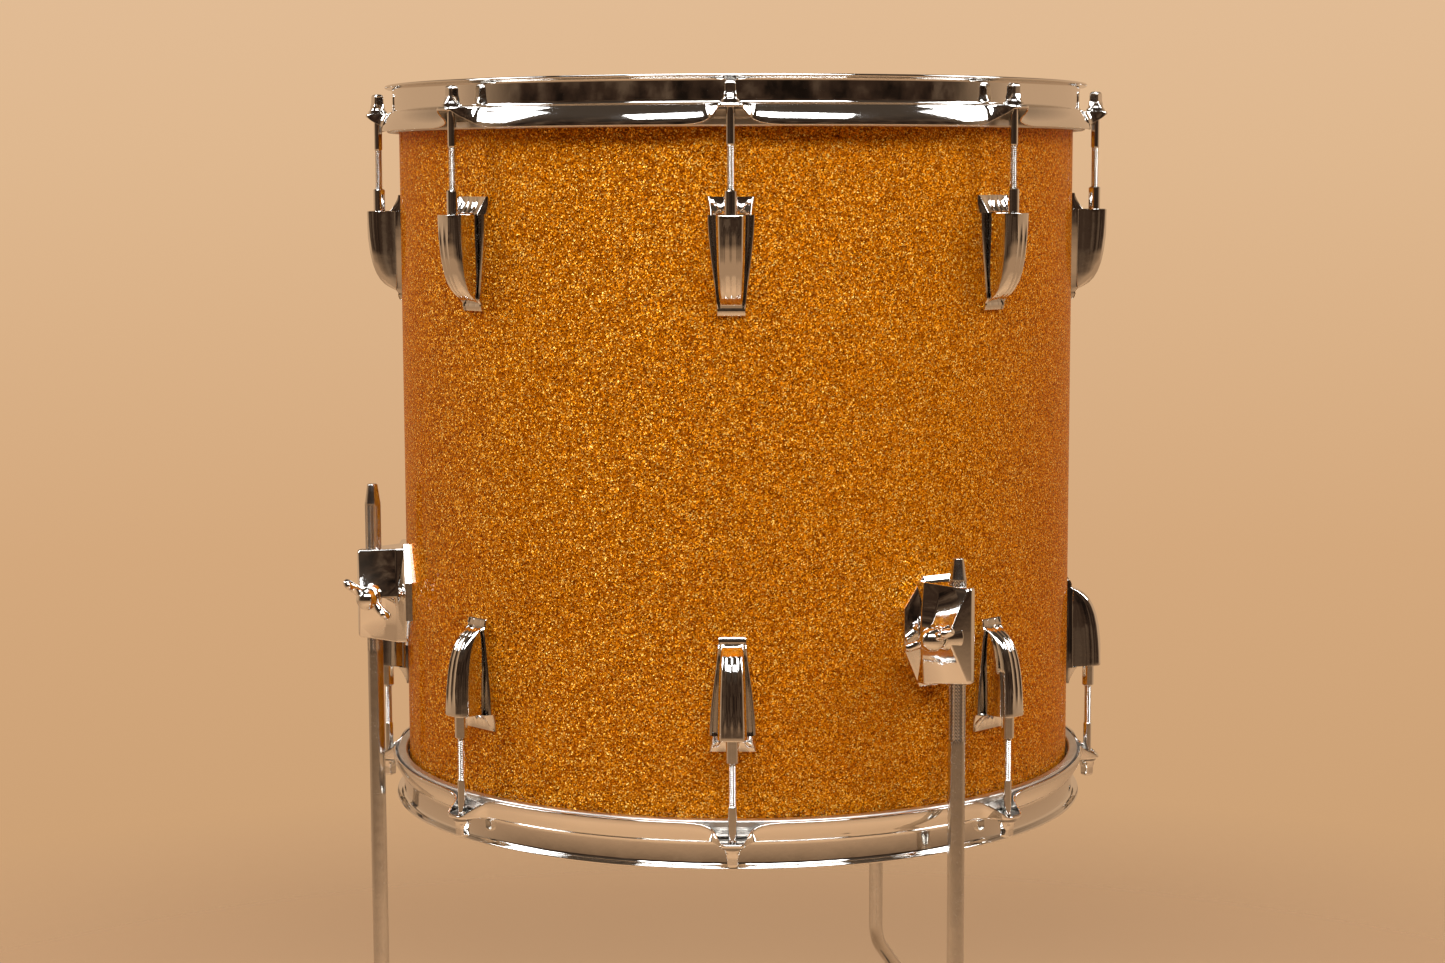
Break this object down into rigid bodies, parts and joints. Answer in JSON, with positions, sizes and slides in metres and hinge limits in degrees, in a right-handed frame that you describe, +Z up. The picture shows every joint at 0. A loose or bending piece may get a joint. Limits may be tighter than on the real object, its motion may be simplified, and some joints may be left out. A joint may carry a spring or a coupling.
{
  "type": "floor tom drum",
  "caption": "Free-standing tom drum: glitter-wrapped wooden shell, tunable heads held by steel hoops and tension rods, and bent legs that slide in clamping brackets.",
  "frame": {"origin": "centre of the batter head's playing surface, on the drum's axis", "axes": "+Z up along the drum's axis, out of the batter head; -Y towards the front lug"},
  "size_m": [0.5111, 0.512, 0.7387],
  "materials": {
    "shell_wood": "clear satin lacquer, maple plies",
    "glitter_wrap": "gloss laminate over gold and orange glitter flakes",
    "hoop_chrome": "polished",
    "flesh_hoop": "satin",
    "batter_film": "white sprayed coating",
    "resonant_film": "translucent film",
    "washer_steel": "satin",
    "nut_chrome": "polished",
    "lug_chrome": "polished",
    "rod_chrome": "polished",
    "screw_steel": "zinc plated",
    "bracket_chrome": "polished",
    "wing_chrome": "polished",
    "leg_chrome": "satin, knurled at the top",
    "foot_rubber": "matt black",
    "vent_chrome": "polished"
  },
  "bodies": {
    "drum_shell": {"shell": "shell_wood", "wrap": "glitter_wrap", "batter_swivel_nuts": "nut_chrome", "resonant_swivel_nuts": "nut_chrome", "lug_screws": "screw_steel", "bracket_screws": "screw_steel", "vent_grommet": "vent_chrome", "batter_lug_1": "lug_chrome", "batter_lug_2": "lug_chrome", "batter_lug_3": "lug_chrome", "batter_lug_4": "lug_chrome", "batter_lug_5": "lug_chrome", "batter_lug_6": "lug_chrome", "batter_lug_7": "lug_chrome", "batter_lug_8": "lug_chrome", "resonant_lug_1": "lug_chrome", "resonant_lug_2": "lug_chrome", "resonant_lug_3": "lug_chrome", "resonant_lug_4": "lug_chrome", "resonant_lug_5": "lug_chrome", "resonant_lug_6": "lug_chrome", "resonant_lug_7": "lug_chrome", "resonant_lug_8": "lug_chrome", "leg_bracket_left": "bracket_chrome", "leg_bracket_right": "bracket_chrome", "leg_bracket_rear": "bracket_chrome"},
    "batter_rim": {"batter_hoop": "hoop_chrome", "batter_flesh_hoop": "flesh_hoop", "batter_head_film": "batter_film", "batter_washers": "washer_steel"},
    "resonant_rim": {"resonant_hoop": "hoop_chrome", "resonant_flesh_hoop": "flesh_hoop", "resonant_head_film": "resonant_film", "resonant_washers": "washer_steel"},
    "batter_rod_1": {"batter_rod_1": "rod_chrome"},
    "batter_rod_2": {"batter_rod_2": "rod_chrome"},
    "batter_rod_3": {"batter_rod_3": "rod_chrome"},
    "batter_rod_4": {"batter_rod_4": "rod_chrome"},
    "batter_rod_5": {"batter_rod_5": "rod_chrome"},
    "batter_rod_6": {"batter_rod_6": "rod_chrome"},
    "batter_rod_7": {"batter_rod_7": "rod_chrome"},
    "batter_rod_8": {"batter_rod_8": "rod_chrome"},
    "resonant_rod_1": {"resonant_rod_1": "rod_chrome"},
    "resonant_rod_2": {"resonant_rod_2": "rod_chrome"},
    "resonant_rod_3": {"resonant_rod_3": "rod_chrome"},
    "resonant_rod_4": {"resonant_rod_4": "rod_chrome"},
    "resonant_rod_5": {"resonant_rod_5": "rod_chrome"},
    "resonant_rod_6": {"resonant_rod_6": "rod_chrome"},
    "resonant_rod_7": {"resonant_rod_7": "rod_chrome"},
    "resonant_rod_8": {"resonant_rod_8": "rod_chrome"},
    "leg_left": {"leg_left": "leg_chrome", "rubber_foot_left": "foot_rubber"},
    "wing_screw_left": {"wing_screw_left": "wing_chrome"},
    "leg_right": {"leg_right": "leg_chrome", "rubber_foot_right": "foot_rubber"},
    "wing_screw_right": {"wing_screw_right": "wing_chrome"},
    "leg_rear": {"leg_rear": "leg_chrome", "rubber_foot_rear": "foot_rubber"},
    "wing_screw_rear": {"wing_screw_rear": "wing_chrome"}
  },
  "joints": [
    {"name": "batter_rim_release", "type": "slide", "parent": "drum_shell", "child": "batter_rim", "axis": [0, 0, 1], "range_m": [0, 0.003]},
    {"name": "batter_rod_1_turn", "type": "hinge", "parent": "batter_rim", "child": "batter_rod_1", "pos_m": [0, -0.2168, -0.0039], "axis": [0, 0, 1], "range_deg": [0, 1021]},
    {"name": "batter_rod_2_turn", "type": "hinge", "parent": "batter_rim", "child": "batter_rod_2", "pos_m": [0.1533, -0.1533, -0.0039], "axis": [0, 0, 1], "range_deg": [0, 1021]},
    {"name": "batter_rod_3_turn", "type": "hinge", "parent": "batter_rim", "child": "batter_rod_3", "pos_m": [0.2168, 0, -0.0039], "axis": [0, 0, 1], "range_deg": [0, 1021]},
    {"name": "batter_rod_4_turn", "type": "hinge", "parent": "batter_rim", "child": "batter_rod_4", "pos_m": [0.1533, 0.1533, -0.0039], "axis": [0, 0, 1], "range_deg": [0, 1021]},
    {"name": "batter_rod_5_turn", "type": "hinge", "parent": "batter_rim", "child": "batter_rod_5", "pos_m": [0, 0.2168, -0.0039], "axis": [0, 0, 1], "range_deg": [0, 1021]},
    {"name": "batter_rod_6_turn", "type": "hinge", "parent": "batter_rim", "child": "batter_rod_6", "pos_m": [-0.1533, 0.1533, -0.0039], "axis": [0, 0, 1], "range_deg": [0, 1021]},
    {"name": "batter_rod_7_turn", "type": "hinge", "parent": "batter_rim", "child": "batter_rod_7", "pos_m": [-0.2168, 0, -0.0039], "axis": [0, 0, 1], "range_deg": [0, 1021]},
    {"name": "batter_rod_8_turn", "type": "hinge", "parent": "batter_rim", "child": "batter_rod_8", "pos_m": [-0.1533, -0.1533, -0.0039], "axis": [0, 0, 1], "range_deg": [0, 1021]},
    {"name": "resonant_rim_release", "type": "slide", "parent": "drum_shell", "child": "resonant_rim", "axis": [0, 0, -1], "range_m": [0, 0.003]},
    {"name": "resonant_rod_1_turn", "type": "hinge", "parent": "resonant_rim", "child": "resonant_rod_1", "pos_m": [0, -0.2168, -0.4039], "axis": [0, 0, -1], "range_deg": [0, 1021]},
    {"name": "resonant_rod_2_turn", "type": "hinge", "parent": "resonant_rim", "child": "resonant_rod_2", "pos_m": [0.1533, -0.1533, -0.4039], "axis": [0, 0, -1], "range_deg": [0, 1021]},
    {"name": "resonant_rod_3_turn", "type": "hinge", "parent": "resonant_rim", "child": "resonant_rod_3", "pos_m": [0.2168, 0, -0.4039], "axis": [0, 0, -1], "range_deg": [0, 1021]},
    {"name": "resonant_rod_4_turn", "type": "hinge", "parent": "resonant_rim", "child": "resonant_rod_4", "pos_m": [0.1533, 0.1533, -0.4039], "axis": [0, 0, -1], "range_deg": [0, 1021]},
    {"name": "resonant_rod_5_turn", "type": "hinge", "parent": "resonant_rim", "child": "resonant_rod_5", "pos_m": [0, 0.2168, -0.4039], "axis": [0, 0, -1], "range_deg": [0, 1021]},
    {"name": "resonant_rod_6_turn", "type": "hinge", "parent": "resonant_rim", "child": "resonant_rod_6", "pos_m": [-0.1533, 0.1533, -0.4039], "axis": [0, 0, -1], "range_deg": [0, 1021]},
    {"name": "resonant_rod_7_turn", "type": "hinge", "parent": "resonant_rim", "child": "resonant_rod_7", "pos_m": [-0.2168, 0, -0.4039], "axis": [0, 0, -1], "range_deg": [0, 1021]},
    {"name": "resonant_rod_8_turn", "type": "hinge", "parent": "resonant_rim", "child": "resonant_rod_8", "pos_m": [-0.1533, -0.1533, -0.4039], "axis": [0, 0, -1], "range_deg": [0, 1021]},
    {"name": "leg_left_height", "type": "slide", "parent": "drum_shell", "child": "leg_left", "axis": [0, 0, 1], "range_m": [-0.03, 0.18]},
    {"name": "wing_screw_left_turn", "type": "hinge", "parent": "drum_shell", "child": "wing_screw_left", "pos_m": [-0.21773, -0.04331, -0.2922], "axis": [-0.0305, -0.9995, 0], "range_deg": [0, 720]},
    {"name": "leg_right_height", "type": "slide", "parent": "drum_shell", "child": "leg_right", "axis": [0, 0, 1], "range_m": [-0.012, 0.18]},
    {"name": "wing_screw_right_turn", "type": "hinge", "parent": "drum_shell", "child": "wing_screw_right", "pos_m": [0.12253, -0.18512, -0.2922], "axis": [-0.6884, -0.7254, 0], "range_deg": [0, 720]},
    {"name": "leg_rear_height", "type": "slide", "parent": "drum_shell", "child": "leg_rear", "axis": [0, 0, 1], "range_m": [-0.012, 0.18]},
    {"name": "wing_screw_rear_turn", "type": "hinge", "parent": "drum_shell", "child": "wing_screw_rear", "pos_m": [0.0947, 0.20079, -0.2922], "axis": [0.9772, -0.2122, 0], "range_deg": [0, 720]}
  ],
  "couplings": [
    {"joint": "batter_rod_1_turn", "follows": "batter_rim_release", "rad_per_m": 5936.9},
    {"joint": "batter_rod_2_turn", "follows": "batter_rim_release", "rad_per_m": 5936.9},
    {"joint": "batter_rod_3_turn", "follows": "batter_rim_release", "rad_per_m": 5936.9},
    {"joint": "batter_rod_4_turn", "follows": "batter_rim_release", "rad_per_m": 5936.9},
    {"joint": "batter_rod_5_turn", "follows": "batter_rim_release", "rad_per_m": 5936.9},
    {"joint": "batter_rod_6_turn", "follows": "batter_rim_release", "rad_per_m": 5936.9},
    {"joint": "batter_rod_7_turn", "follows": "batter_rim_release", "rad_per_m": 5936.9},
    {"joint": "batter_rod_8_turn", "follows": "batter_rim_release", "rad_per_m": 5936.9},
    {"joint": "resonant_rod_1_turn", "follows": "resonant_rim_release", "rad_per_m": 5936.9},
    {"joint": "resonant_rod_2_turn", "follows": "resonant_rim_release", "rad_per_m": 5936.9},
    {"joint": "resonant_rod_3_turn", "follows": "resonant_rim_release", "rad_per_m": 5936.9},
    {"joint": "resonant_rod_4_turn", "follows": "resonant_rim_release", "rad_per_m": 5936.9},
    {"joint": "resonant_rod_5_turn", "follows": "resonant_rim_release", "rad_per_m": 5936.9},
    {"joint": "resonant_rod_6_turn", "follows": "resonant_rim_release", "rad_per_m": 5936.9},
    {"joint": "resonant_rod_7_turn", "follows": "resonant_rim_release", "rad_per_m": 5936.9},
    {"joint": "resonant_rod_8_turn", "follows": "resonant_rim_release", "rad_per_m": 5936.9}
  ]
}
